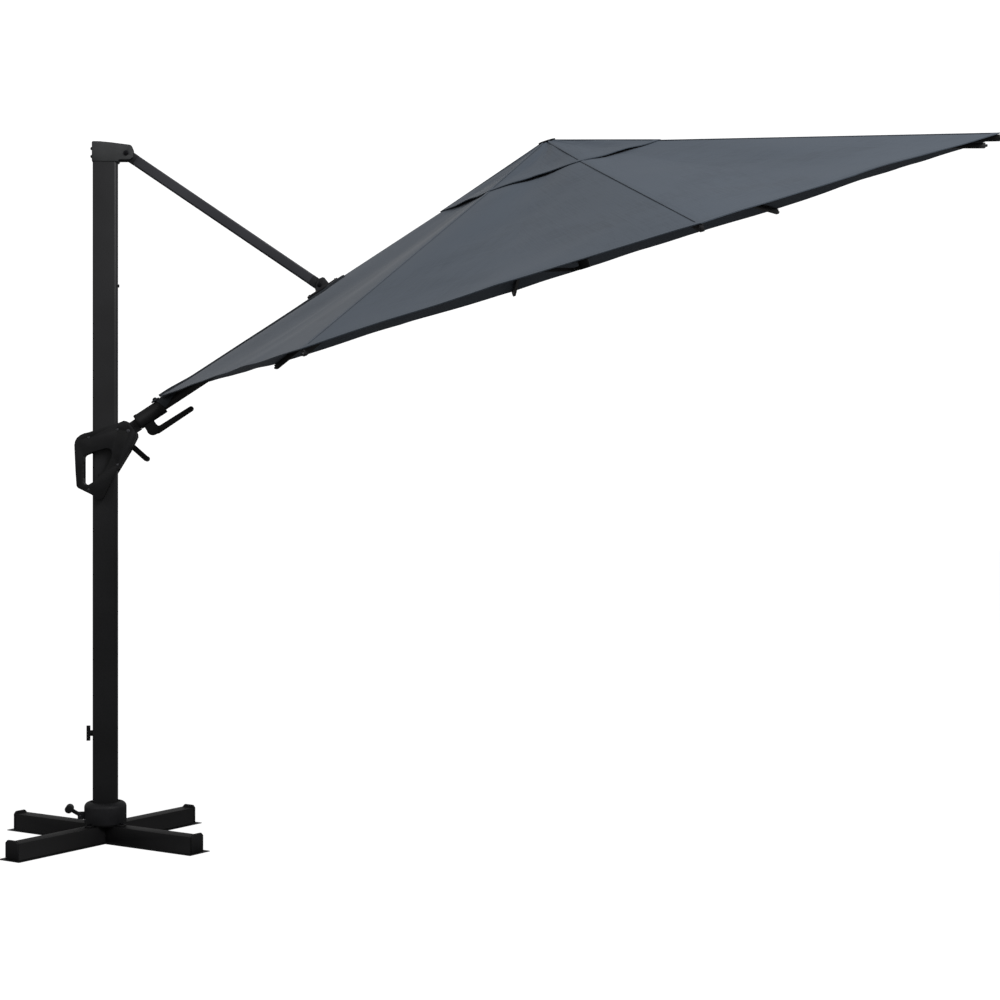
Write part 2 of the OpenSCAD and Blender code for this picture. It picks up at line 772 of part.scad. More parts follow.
module carriage_half(side) {
    slot_half = 8;
    color("#28282a") difference() {
        slab_y(side < 0 ? -carriage_d / 2 : 0.2, side < 0 ? -0.2 : carriage_d / 2) carriage_outline();
        translate([-channel_x, -channel_y, carriage_pivot_z - 300]) cube([2 * channel_x, 2 * channel_y, 400]);
        slab_y(-carriage_d, carriage_d) hand_hole();
        translate([channel_x - cut, -neck_gap, carriage_pivot_z - 80]) cube([120, 2 * neck_gap, 140]);
        translate([carriage_pivot_x, 0, carriage_pivot_z]) pin_y(pin_r, 2 * carriage_d);
        translate([grip_inner - 18, -slot_half, trigger_z - 1])
            cube([18 + cut, 2 * slot_half, trigger_h + 2]);
        if (side > 0) translate([CRANK.x, carriage_d / 2, CRANK.y]) pin_y(7 + fit, carriage_d);
        for (p = SCREWS) translate([p.x, 0, p.y]) pin_y(3, 2 * carriage_d);
    }
}

module carriage_front() {
    carriage_half(-1);
}

module carriage_back() {
    carriage_half(1);
}

SCREWS = [for (p = [[-147, -26], [-40, 5], [-147, -222], [-40, -128]]) PIVOT + p];
CRANK = PIVOT + [-5, -45];

module carriage_screws() {
    color("#8d8d90") for (p = SCREWS) translate([p.x, 0, p.y]) {
        for (s = [-1, 1]) translate([0, s * (carriage_d / 2 + 0.6), 0]) pin_y(4.5, 1.2);
        if (abs(p.x) > channel_x) pin_y(3, carriage_d);
        else for (s = [-1, 1]) translate([0, s * (carriage_d + 2 * channel_y) / 4, 0])
            pin_y(3, (carriage_d - 2 * channel_y) / 2);
    }
}

module carriage_pin() {
    head_t = 1.5;
    color("#3a3a3c") translate([carriage_pivot_x, 0, carriage_pivot_z]) {
        pin_y(pin_r, carriage_d);
        for (s = [-1, 1]) translate([0, s * (carriage_d + head_t) / 2, 0]) pin_y(pin_r + 1, head_t);
    }
}

module carriage_glides() {
    t = channel_y - mast_d / 2 - gap;
    color("#d0d0c8") for (s = [-1, 1], z = [-210, -50])
        translate([-22, s * (channel_y - t / 2) - t / 2, carriage_pivot_z + z]) cube([44, t, 50]);
}

// Crank on the far side of the carriage
crank_y = carriage_d / 2 + 1;
crank_l = 84;
crank_angle = 42;
crank_pin_in = 36;            // the crank's pin starts this far from the middle plane

module crank_arm() {
    color("#1b1b1d") translate([CRANK.x, 0, CRANK.y]) {
        translate([0, (crank_y + 20 + crank_pin_in) / 2, 0]) pin_y(7, crank_y + 20 - crank_pin_in);
        translate([0, crank_y + 14, 0]) rotate([0, crank_angle, 0]) {
            translate([0, -6, -10.5]) cube([crank_l, 12, 21]);
            pin_y(10.5, 12);
            translate([crank_l, 0, 0]) pin_y(10.5, 12);
            translate([crank_l, 24, 0]) pin_y(5, 36);
        }
    }
}

module crank_grip() {
    color("#151517") translate([CRANK.x, crank_y + 14, CRANK.y]) rotate([0, crank_angle, 0])
        translate([crank_l, 7 + 34, 0]) difference() {
            rotate([90, 0, 0]) round_rod(10.5, -23, 23);
            translate([0, -20, 0]) pin_y(5 + fit, 54);
        }
}

module grip_trigger() {
    trigger_l = 17;
    color("#232325") translate([grip_inner + trigger_travel - trigger_l, -7.6, trigger_z])
        cube([trigger_l, 15.2, trigger_h]);
}

// ---- Fabric ----

// A thin octagonal pyramid between two radii, each given with its height in the hub's frame
module octagon_layer(r0, z0, r1, z1) {
    ring = [for (i = [0:7]) 45 * i];
    outer = [for (a = ring) [r1 * cos(a), r1 * sin(a), z1]];
    inner = [for (a = ring) [r0 * cos(a), r0 * sin(a), z0]];
    lift = [0, 0, fabric_t];
    points = concat(outer, inner, [for (p = outer) p + lift], [for (p = inner) p + lift]);
    polyhedron(points, concat(
        [for (i = [0:7]) let (j = (i + 1) % 8) [16 + i, 24 + i, 24 + j]],
        [for (i = [0:7]) let (j = (i + 1) % 8) [16 + i, 24 + j, 16 + j]],
        [for (i = [0:7]) let (j = (i + 1) % 8) [i, 8 + j, 8 + i]],
        [for (i = [0:7]) let (j = (i + 1) % 8) [i, j, 8 + j]],
        [for (i = [0:7]) let (j = (i + 1) % 8) [i, 16 + i, 16 + j]],
        [for (i = [0:7]) let (j = (i + 1) % 8) [i, 16 + j, j]],
        [for (i = [0:7]) let (j = (i + 1) % 8) [8 + i, 24 + j, 24 + i]],
        [for (i = [0:7]) let (j = (i + 1) % 8) [8 + i, 8 + j, 24 + j]]));
}

// Height of the main canopy's underside at a radius
function canopy_z(r) = -canopy_rise * r / canopy_r;

module canopy_fabric() {
    slit = boom_d / 2 + 4;
    bracket_slit = 35;
    color("#54585e") difference() {
        at_hub() octagon_layer(vent_r, canopy_z(vent_r), canopy_r, canopy_z(canopy_r));
        at_twist() translate([0, -slit, -20]) cube([bracket_x, 2 * slit, 100]);
        at_twist() translate([bracket_x + plate_from - 9, -bracket_slit, -20])
            cube([plate_to - plate_from + 18, 2 * bracket_slit, 120]);
    }
}

module vent_flap() {
    tip_z = canopy_z(flap_r) + 10;
    top_r = 24;
    color("#5a5f66") at_hub() octagon_layer(top_r, tip_z * top_r / flap_r + 7, flap_r, tip_z);
}

// ---- Assembly ----

base_bar_long();
base_bar_left();
base_bar_right();
bar_end_caps();
centre_plate();
plate_bolts();
base_socket();
swivel_bearing();
pedal_pin();
foot_pedal();
mast_tube();
mast_foot();
top_cap();
cap_bolts();
strut_pin();
stop_screw();
mast_knob();
strut_tube();
strut_ends();
strut_bracket();
bracket_pin();
bracket_screws();
boom_neck();
boom_tube();
boom_collar();
hook_knob();
boom_clevis();
clevis_pin();
tilt_lever();
hub_crown();
centre_post();
hub_pins();
finial();
for (i = [0:6]) rib(rib_azimuth(i));
for (i = [0:6]) stay(rib_azimuth(i));
stay_boom();
runner();
runner_pins();
carriage_front();
carriage_back();
carriage_screws();
carriage_pin();
carriage_glides();
crank_arm();
crank_grip();
grip_trigger();
canopy_fabric();
vent_flap();
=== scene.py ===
import json
import math

import bpy
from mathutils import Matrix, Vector, noise


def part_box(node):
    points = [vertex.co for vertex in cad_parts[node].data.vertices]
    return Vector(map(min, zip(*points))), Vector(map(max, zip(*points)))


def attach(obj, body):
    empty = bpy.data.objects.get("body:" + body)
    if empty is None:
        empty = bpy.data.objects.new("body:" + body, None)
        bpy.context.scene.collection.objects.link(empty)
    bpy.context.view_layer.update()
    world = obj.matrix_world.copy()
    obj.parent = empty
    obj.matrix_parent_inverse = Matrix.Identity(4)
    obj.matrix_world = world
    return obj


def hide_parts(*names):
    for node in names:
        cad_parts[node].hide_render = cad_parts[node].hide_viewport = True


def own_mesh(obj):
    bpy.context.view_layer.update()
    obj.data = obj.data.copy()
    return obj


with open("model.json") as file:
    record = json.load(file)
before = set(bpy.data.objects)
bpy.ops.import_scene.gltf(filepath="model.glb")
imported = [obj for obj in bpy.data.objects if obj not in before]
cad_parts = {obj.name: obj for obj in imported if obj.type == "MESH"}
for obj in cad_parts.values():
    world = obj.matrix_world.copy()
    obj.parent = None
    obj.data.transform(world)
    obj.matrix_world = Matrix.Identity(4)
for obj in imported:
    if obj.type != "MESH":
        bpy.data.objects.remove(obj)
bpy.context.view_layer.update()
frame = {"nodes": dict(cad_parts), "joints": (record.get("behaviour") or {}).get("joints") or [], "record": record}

joints = {joint["name"]: joint for joint in frame["joints"]}
print("frame loaded")


# ---- Materials ----

def linearColour(hexText, alpha=1.0):
    # sRGB hex to the linear values that the shaders take
    parts = [int(hexText[i:i + 2], 16) / 255 for i in (1, 3, 5)]
    return [p / 12.92 if p <= 0.04045 else ((p + 0.055) / 1.055) ** 2.4 for p in parts] + [alpha]


def addNode(tree, kind, settings=None, links=None):
    # adds one node; settings are its properties or its sockets' values, links are {socket: (node, output)}
    made = tree.nodes.new(kind)
    for name, value in (settings or {}).items():
        if isinstance(name, str) and hasattr(made, name):
            setattr(made, name, value)
        else:
            made.inputs[name].default_value = value
    for name, (source, output) in (links or {}).items():
        tree.links.new(source.outputs[output], made.inputs[name])
    return made


def startMaterial(name):
    made = bpy.data.materials.new(name)
    made.use_nodes = True
    made.node_tree.nodes.clear()
    return made, made.node_tree


def setRamp(ramp, stops):
    elements = ramp.color_ramp.elements
    while len(elements) > len(stops):
        elements.remove(elements[-1])
    while len(elements) < len(stops):
        elements.new(1.0)
    for element, (place, colour) in zip(elements, stops):
        element.position = place
        element.color = colour


def coatedMetal(name, settings):
    # Powder coat over metal: a matt skin with a fine orange peel and faint dusty patches
    made, tree = startMaterial(name)
    place = addNode(tree, "ShaderNodeTexCoord")
    patches = addNode(tree, "ShaderNodeTexNoise", {"Scale": 1000 / settings["patchMm"], "Detail": 4.0},
                      {"Vector": (place, "Object")})
    tint = addNode(tree, "ShaderNodeValToRGB", {}, {"Fac": (patches, "Fac")})
    setRamp(tint, [(0.32, linearColour(settings["dark"])), (0.7, linearColour(settings["light"]))])
    rough = addNode(tree, "ShaderNodeMapRange", {"To Min": settings["roughLow"], "To Max": settings["roughHigh"]},
                    {"Value": (patches, "Fac")})
    peel = addNode(tree, "ShaderNodeTexNoise", {"Scale": 1000 / settings["peelMm"], "Detail": 2.0},
                   {"Vector": (place, "Object")})
    bump = addNode(tree, "ShaderNodeBump", {"Strength": settings["peel"], "Distance": 0.0006},
                   {"Height": (peel, "Fac")})
    skin = addNode(tree, "ShaderNodeBsdfPrincipled", {"IOR": settings["ior"], "Specular IOR Level": 0.3,
                                                     "Coat Weight": settings["coat"],
                                                     "Coat Roughness": 0.35},
                   {"Base Color": (tint, "Color"), "Roughness": (rough, "Result"), "Normal": (bump, "Normal")})
    addNode(tree, "ShaderNodeOutputMaterial", {}, {"Surface": (skin, "BSDF")})
    return made


def bareMetal(name, settings):
    # Turned or plated steel: faint rings of tooling, spotty where it has weathered
    made, tree = startMaterial(name)
    place = addNode(tree, "ShaderNodeTexCoord")
    spots = addNode(tree, "ShaderNodeTexNoise", {"Scale": 1000 / settings["spotMm"], "Detail": 5.0},
                    {"Vector": (place, "Object")})
    tint = addNode(tree, "ShaderNodeValToRGB", {}, {"Fac": (spots, "Fac")})
    setRamp(tint, [(0.35, linearColour(settings["dark"])), (0.65, linearColour(settings["light"]))])
    rough = addNode(tree, "ShaderNodeMapRange", {"To Min": 0.28, "To Max": 0.5}, {"Value": (spots, "Fac")})
    bump = addNode(tree, "ShaderNodeBump", {"Strength": 0.15, "Distance": 0.0003}, {"Height": (spots, "Fac")})
    skin = addNode(tree, "ShaderNodeBsdfPrincipled", {"Metallic": 1.0},
                   {"Base Color": (tint, "Color"), "Roughness": (rough, "Result"), "Normal": (bump, "Normal")})
    addNode(tree, "ShaderNodeOutputMaterial", {}, {"Surface": (skin, "BSDF")})
    return made


def mouldedPlastic(name, settings):
    # Injection-moulded plastic with a spark-eroded grain that scatters the highlights
    made, tree = startMaterial(name)
    place = addNode(tree, "ShaderNodeTexCoord")
    cloud = addNode(tree, "ShaderNodeTexNoise", {"Scale": 1000 / settings["cloudMm"], "Detail": 3.0},
                    {"Vector": (place, "Object")})
    tint = addNode(tree, "ShaderNodeValToRGB", {}, {"Fac": (cloud, "Fac")})
    setRamp(tint, [(0.3, linearColour(settings["dark"])), (0.72, linearColour(settings["light"]))])
    grain = addNode(tree, "ShaderNodeTexVoronoi", {"Scale": 1000 / settings["grainMm"]},
                    {"Vector": (place, "Object")})
    rough = addNode(tree, "ShaderNodeMapRange", {"To Min": settings["roughLow"], "To Max": settings["roughHigh"]},
                    {"Value": (cloud, "Fac")})
    bump = addNode(tree, "ShaderNodeBump", {"Strength": 0.12, "Distance": 0.0004},
                   {"Height": (grain, "Distance")})
    skin = addNode(tree, "ShaderNodeBsdfPrincipled", {"IOR": settings["ior"], "Specular IOR Level": 0.3},
                   {"Base Color": (tint, "Color"), "Roughness": (rough, "Result"), "Normal": (bump, "Normal")})
    addNode(tree, "ShaderNodeOutputMaterial", {}, {"Surface": (skin, "BSDF")})
    return made


def wovenCanvas(name, settings):
    # Solution-dyed polyester canvas: plain weave, slubs along both threads, soft sheen at a low angle.
    # The UV map is in metres: U across the panel from its rib, V down the rib.
    made, tree = startMaterial(name)
    flat = addNode(tree, "ShaderNodeUVMap", {"uv_map": "clothMetres"})
    # threads are drawn every few millimetres, coarser than the real 0.6 mm, so that they show at all
    warp, weft = [addNode(tree, "ShaderNodeTexWave", {"wave_type": "BANDS", "bands_direction": direction,
                                                     "Scale": 1000 / settings["threadMm"] / (2 * math.pi) * 0.5,
                                                     "Distortion": 1.5, "Detail": 1.0, "Detail Scale": 3.0},
                          {"Vector": (flat, "UV")}) for direction in ("X", "Y")]
    weave = addNode(tree, "ShaderNodeMath", {"operation": "MULTIPLY"}, {0: (warp, "Fac"), 1: (weft, "Fac")})
    streaks = []
    for stretch in ((1.0, 0.06, 1.0), (0.06, 1.0, 1.0)):
        turned = addNode(tree, "ShaderNodeMapping", {"Scale": stretch}, {"Vector": (flat, "UV")})
        streaks.append(addNode(tree, "ShaderNodeTexNoise", {"Scale": 1000 / settings["slubMm"], "Detail": 3.0},
                               {"Vector": (turned, "Vector")}))
    slubs = addNode(tree, "ShaderNodeMath", {"operation": "ADD"},
                    {0: (streaks[0], "Fac"), 1: (streaks[1], "Fac")})
    shade = addNode(tree, "ShaderNodeTexNoise", {"Scale": 1.6, "Detail": 3.0}, {"Vector": (flat, "UV")})
    tone = addNode(tree, "ShaderNodeMath", {"operation": "MULTIPLY_ADD", 1: 0.5},
                   {0: (slubs, "Value"), 2: (shade, "Fac")})
    tint = addNode(tree, "ShaderNodeValToRGB", {}, {"Fac": (tone, "Value")})
    setRamp(tint, [(0.62, linearColour(settings["dark"])), (1.0, linearColour(settings["light"]))])
    # two rows of thread beside the seam that runs down the rib
    across = addNode(tree, "ShaderNodeSeparateXYZ", {}, {"Vector": (flat, "UV")})
    side = addNode(tree, "ShaderNodeMath", {"operation": "ABSOLUTE"}, {0: (across, "X")})
    row = addNode(tree, "ShaderNodeMath", {"operation": "COMPARE", 1: settings["stitchOff"], 2: 0.0011},
                  {0: (side, "Value")})
    dash = addNode(tree, "ShaderNodeMath", {"operation": "PINGPONG", 1: 0.004}, {0: (across, "Y")})
    onDash = addNode(tree, "ShaderNodeMath", {"operation": "GREATER_THAN", 1: 0.0012}, {0: (dash, "Value")})
    thread = addNode(tree, "ShaderNodeMath", {"operation": "MULTIPLY"}, {0: (row, "Value"), 1: (onDash, "Value")})
    sewn = addNode(tree, "ShaderNodeMix", {"data_type": "RGBA"}, {"Factor": (thread, "Value")})
    tree.links.new(tint.outputs["Color"], sewn.inputs[6])
    sewn.inputs[7].default_value = linearColour(settings["thread"])
    height = addNode(tree, "ShaderNodeMath", {"operation": "MULTIPLY_ADD", 1: 0.35},
                     {0: (slubs, "Value"), 2: (weave, "Value")})
    bump = addNode(tree, "ShaderNodeBump", {"Strength": settings["weave"], "Distance": 0.0008},
                   {"Height": (height, "Value")})
    skin = addNode(tree, "ShaderNodeBsdfPrincipled", {"Roughness": 0.86, "Sheen Weight": settings["sheen"],
                                                     "Sheen Roughness": 0.45, "Specular IOR Level": 0.25},
                   {"Normal": (bump, "Normal")})
    tree.links.new(sewn.outputs[2], skin.inputs["Base Color"])
    addNode(tree, "ShaderNodeOutputMaterial", {}, {"Surface": (skin, "BSDF")})
    return made


finishes = {
    # charcoal powder coat on extruded aluminium and on steel sheet: matt, faint orange peel
    "coatedAluminium": coatedMetal("powderCoatedAluminium", {
        "dark": "#212122", "light": "#2a2a2c", "patchMm": 260, "peelMm": 1.6, "peel": 0.12,
        "roughLow": 0.44, "roughHigh": 0.56, "ior": 1.45, "coat": 0.04}),
    "strutPaint": coatedMetal("powderCoatedStrut", {
        "dark": "#323236", "light": "#3d3d42", "patchMm": 200, "peelMm": 1.6, "peel": 0.12,
        "roughLow": 0.44, "roughHigh": 0.56, "ior": 1.45, "coat": 0.04}),
    "coatedSteel": coatedMetal("powderCoatedSteel", {
        "dark": "#0f0f10", "light": "#161517", "patchMm": 160, "peelMm": 1.8, "peel": 0.16,
        "roughLow": 0.46, "roughHigh": 0.62, "ior": 1.45, "coat": 0.04}),
    # sand-cast skin under paint: rougher than the extrusions
    "paintedCasting": coatedMetal("paintedAluminiumCasting", {
        "dark": "#1b1b1d", "light": "#242427", "patchMm": 60, "peelMm": 1.3, "peel": 0.3,
        "roughLow": 0.5, "roughHigh": 0.66, "ior": 1.45, "coat": 0.03}),
    "zincSteel": bareMetal("zincPlatedSteel", {"dark": "#4c4c50", "light": "#66666a", "spotMm": 9}),
    # zinc plate with a black passivation: a dull dark sheen on bolts and pins
    "blackZincSteel": bareMetal("blackZincSteel", {"dark": "#1d1d1f", "light": "#2b2b2e", "spotMm": 7}),
    "acetal": mouldedPlastic("acetalPlastic", {
        "dark": "#c4c2ba", "light": "#dcdad2", "cloudMm": 40, "grainMm": 1.0,
        "roughLow": 0.35, "roughHigh": 0.5, "ior": 1.48}),
    "greyNylon": mouldedPlastic("greyNylon", {
        "dark": "#363738", "light": "#434445", "cloudMm": 50, "grainMm": 0.9,
        "roughLow": 0.5, "roughHigh": 0.65, "ior": 1.45}),
    "blackNylon": mouldedPlastic("glassFilledNylon", {
        "dark": "#121213", "light": "#1a1a1c", "cloudMm": 50, "grainMm": 0.9,
        "roughLow": 0.46, "roughHigh": 0.62, "ior": 1.45}),
    "canvas": wovenCanvas("polyesterCanvas", {
        "dark": "#3d454f", "light": "#4a535e", "thread": "#353c45", "threadMm": 3.0, "slubMm": 9,
        "stitchOff": 0.009, "weave": 0.22, "sheen": 0.12}),
    "tape": wovenCanvas("polyesterBindingTape", {
        "dark": "#26292d", "light": "#303439", "thread": "#1d1f22", "threadMm": 2.4, "slubMm": 7,
        "stitchOff": 0.004, "weave": 0.3, "sheen": 0.08}),
}
print("materials made")


def giveMaterial(piece, finish):
    piece.data.materials.clear()
    piece.data.materials.append(finishes[finish])


def deselectAll():
    bpy.ops.object.select_all(action="DESELECT")


def makeActive(piece):
    deselectAll()
    piece.select_set(True)
    bpy.context.view_layer.objects.active = piece


def applyModifiers(piece):
    makeActive(piece)
    for modifier in list(piece.modifiers):
        bpy.ops.object.modifier_apply(modifier=modifier.name)


# ---- Hard parts: the CAD shape with its edges rounded as a mould or a press leaves them ----

hardParts = {
    # node: (edge radius in metres, finish)
    "base_bar_long": (0.0012, "coatedSteel"), "base_bar_left": (0.0012, "coatedSteel"),
    "base_bar_right": (0.0012, "coatedSteel"), "centre_plate": (0.001, "coatedSteel"),
    "bar_end_caps": (0.0015, "blackNylon"), "plate_bolts": (0.0008, "blackZincSteel"),
    "base_socket": (0.002, "paintedCasting"), "swivel_bearing": (0.0008, "acetal"),
    "pedal_pin": (0.0006, "zincSteel"), "foot_pedal": (0.0025, "blackNylon"),
    "mast_tube": (0.0006, "coatedAluminium"), "mast_foot": (0.0015, "paintedCasting"),
    "top_cap": (0.003, "greyNylon"), "cap_bolts": (0.001, "blackZincSteel"),
    "strut_pin": (0.001, "blackZincSteel"), "stop_screw": (0.001, "blackZincSteel"),
    "mast_knob": (0.002, "blackNylon"), "strut_tube": (0.0005, "strutPaint"),
    "strut_ends": (0.0012, "paintedCasting"), "strut_bracket": (0.0015, "paintedCasting"),
    "bracket_pin": (0.001, "blackZincSteel"), "bracket_screws": (0.0008, "blackZincSteel"),
    "boom_neck": (0.0012, "paintedCasting"), "boom_tube": (0.0005, "coatedAluminium"),
    "boom_collar": (0.0015, "blackNylon"), "hook_knob": (0.0006, "blackNylon"),
    "boom_clevis": (0.0008, "paintedCasting"), "clevis_pin": (0.0005, "zincSteel"),
    "tilt_lever": (0.004, "blackNylon"), "hub_crown": (0.0006, "blackNylon"),
    "centre_post": (0.0006, "coatedAluminium"), "hub_pins": (0.0004, "zincSteel"),
    "finial": (0.0015, "blackNylon"), "runner": (0.0006, "blackNylon"),
    "runner_pins": (0.0004, "zincSteel"), "carriage_front": (0.004, "blackNylon"),
    "carriage_back": (0.004, "blackNylon"), "carriage_screws": (0.0008, "zincSteel"),
    "carriage_pin": (0.001, "zincSteel"), "carriage_glides": (0.0008, "blackNylon"),
    "crank_arm": (0.0015, "blackNylon"), "crank_grip": (0.0006, "blackNylon"),
    "grip_trigger": (0.002, "blackNylon"),
}
ribNames = ["near_left", "near", "near_right", "outer", "far_right", "far", "far_left"]
for ribName in ribNames:
    hardParts["rib_" + ribName] = (0.0008, "coatedAluminium")
    hardParts["stay_" + ribName] = (0.0005, "coatedAluminium")
hardParts["stay_boom"] = (0.0005, "coatedAluminium")

bodyOf = {node: body for body, members in frame["record"]["behaviour"]["bodies"].items() for node in members}


def pieceName(node):
    words = node.split("_")
    return words[0] + "".join(word.capitalize() for word in words[1:])


def finishHardPart(node, edgeRadius, finish):
    piece = bpy.data.objects.new(pieceName(node), frame["nodes"][node].data.copy())
    bpy.context.scene.collection.objects.link(piece)
    makeActive(piece)
    bpy.ops.object.mode_set(mode="EDIT")
    bpy.ops.mesh.select_all(action="SELECT")
    bpy.ops.mesh.remove_doubles(threshold=0.00002)
    bpy.ops.mesh.dissolve_limited(angle_limit=math.radians(0.5))
    bpy.ops.object.mode_set(mode="OBJECT")
    bevel = piece.modifiers.new("edges", "BEVEL")
    bevel.width = edgeRadius
    bevel.segments = 2
    bevel.limit_method = "ANGLE"
    bevel.angle_limit = math.radians(38)
    bevel.use_clamp_overlap = True
    applyModifiers(piece)
    bpy.ops.object.shade_smooth_by_angle(angle=math.radians(32))
    giveMaterial(piece, finish)
    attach(piece, bodyOf[node])
    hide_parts(node)


for nodeName, (radius, finishName) in hardParts.items():
    finishHardPart(nodeName, radius, finishName)
print("hard parts finished")


# ---- Canopy ----

def canopyFrame():
    # the hub's axes from the ribs' hinges: across to the outer rib, across to the far rib, and up the canopy axis
    pivots = {name: Vector(joints["rib_%s_turn" % name]["pos_m"]) for name in ribNames}
    middle = (pivots["near"] + pivots["far"]) / 2
    outward = (pivots["outer"] - middle).normalized()
    farward = (pivots["far"] - middle).normalized()
    return middle, outward, farward, outward.cross(farward).normalized()


pivotCentre, outAxis, farAxis, upAxis = canopyFrame()


def measureCanopy():
    # radius, rise and top point of the main canopy, from its CAD solid
    points = [v.co for v in frame["nodes"]["canopy_fabric"].data.vertices]
    radial = [math.hypot((p - pivotCentre).dot(outAxis), (p - pivotCentre).dot(farAxis)) for p in points]
    radius = max(radial)
    rimHeight = max((p - pivotCentre).dot(upAxis) for p, r in zip(points, radial) if r > 0.99 * radius)
    inner = min(radial)
    innerHeight = max((p - pivotCentre).dot(upAxis) for p, r in zip(points, radial) if r < 1.01 * inner)
    slope = (innerHeight - rimHeight) / (radius - inner)
    return radius, slope * radius, rimHeight + slope * radius


canopyRadius, canopyRise, topHeight = measureCanopy()
topPoint = pivotCentre + topHeight * upAxis
flapRadius = max(math.hypot((v.co - topPoint).dot(outAxis), (v.co - topPoint).dot(farAxis))
                 for v in frame["nodes"]["vent_flap"].data.vertices)
boomLine = Vector(joints["canopy_twist"]["pos_m"])
boomAxis = Vector(joints["canopy_twist"]["axis"]).normalized()
bracketLow, bracketHigh = (Vector(c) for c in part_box("strut_bracket"))
bracketReach = ((bracketLow + bracketHigh) / 2 - topPoint).dot(outAxis) * -1

cloth = {
    "panelSag": 0.022,        # how far a panel hangs below the straight line between its ribs
    "hemSag": 0.10,           # the share of that sag left at the taut hem
    "hemHollow": 0.022,       # how far the hem curves in between two tips
    "thickness": 0.0012,
    "hemWidth": 0.024, "hemLift": 0.0008,
    "seamWidth": 0.014, "seamLift": 0.0009, "seamEnd": 0.995,
    "slitDroop": 0.012,       # how far the slit's bound edges hang down beside the boom tube
    "droopReach": 0.045,      # and how far across the panel that is felt
    "bindingWidth": 0.012,
    "bindingThickness": 0.010,
    "droopAside": 0.3,        # beyond this distance from the boom the droop is nil
    "droopBegin": (0.05, 0.09), "droopEnd": (0.03, 0.12),    # where it sets in and fades: place, length
    "cuffStart": 0.100, "cuffLength": 0.075, "cuffRadius": 0.0305, "cuffWrap": 112,
    "cuffOpen": 0.45,         # the share of its wrap that the cuff loses towards the canopy
    "cuffFlare": 0.003, "cuffLip": 0.012, "cuffFlatWidth": 0.13,
    "slitWide": 0.034,        # half width of the slit at the bracket
    "slitNarrow": 0.0225,     # half width of the slit beside the boom tube
    "slitBegin": 0.07,        # the slit begins this far above the bracket's middle
    "slitRamp": 0.016,        # and opens over this length
    "slitClose": (0.08, 0.06),    # it narrows beyond the bracket: place, length
    "slope": 16,              # of the panels, in degrees
    "ventRadius": 0.35,
    "canopyLift": 0.001,
    "flapInner": 0.05,        # share of the flap's radius left open round the finial
    "flapLift": 0.003,
    "flapSag": 0.010,
    "flapRipple": 0.8,
    "apexLift": 0.009,        # the flap rises this much more towards the finial
    "foldKeep": 0.05,
}

# stretch marks and creases: height in metres, then how fast each repeats and where it starts
ripples = {
    "pull": (0.0022, 9, 0.21), "hem": (0.0012, 16, 40),
    "cloud": (0.0045, 2.3, 0.4, 5.7), "crease": (0.0035, 1.1, 7, 0.5),
}


# the octagon: one wedge of cloth to each rib, named and turned from the outer rib's azimuth, in degrees
wedgeSpan, halfWedge, boomAngle = 45, 22.5, 180
ribAngles = [-135, -90, -45, 0, 45, 90, 135, boomAngle]
wedgeNames = ["nearLeft", "near", "nearRight", "outer", "farRight", "far", "farLeft", "boomSide"]


def ribNode(rib):
    # the CAD node that carries a wedge, which for a hinged rib is also its body's name
    return "boom_tube" if rib == boomAngle else "rib_" + ribNames[ribAngles.index(rib)]


def wrapAngle(angle):
    return (angle + 180) % 360 - 180


def boomDroop(azimuth, reach):
    # the cloth sinks towards the boom tube from the bracket to the tip, more so at the slit's edges
    fromBoom = math.radians(azimuth - boomAngle)
    aside = reach * abs(math.sin(fromBoom))
    if math.cos(fromBoom) < 0.5 or aside > cloth["droopAside"]:
        return 0.0
    early, rise = cloth["droopBegin"]
    late, fall = cloth["droopEnd"]
    begin = min(1.0, max(0.0, (reach - bracketReach + early) / rise))
    end = min(1.0, max(0.0, (canopyRadius - late - reach) / fall))
    spread = math.exp(-((aside / cloth["droopReach"]) ** 2))
    return cloth["slitDroop"] * spread * math.sin(begin * math.pi / 2) ** 2 * math.sin(end * math.pi / 2) ** 2


def clothWaves(azimuth, share, between, flat):
    # shallow stretch marks between two ribs, none on the ribs themselves
    tension = between * (1 - between) * 4
    height, down, around = ripples["pull"]
    pull = height * tension * math.sin(share * down + azimuth * around)
    height, around, start = ripples["hem"]
    hem = height * between * share ** 3 * math.sin(math.radians(azimuth * around + start))
    height, coarse, fineShare, fine = ripples["cloud"]
    cloud = height * tension * (noise.noise(flat * coarse) + fineShare * noise.noise(flat * fine))
    height, long, narrow, layer = ripples["crease"]
    spot = Vector((flat.dot(outAxis) * long, flat.dot(farAxis) * narrow, layer))
    return pull + hem + cloud + height * between * noise.noise(spot)


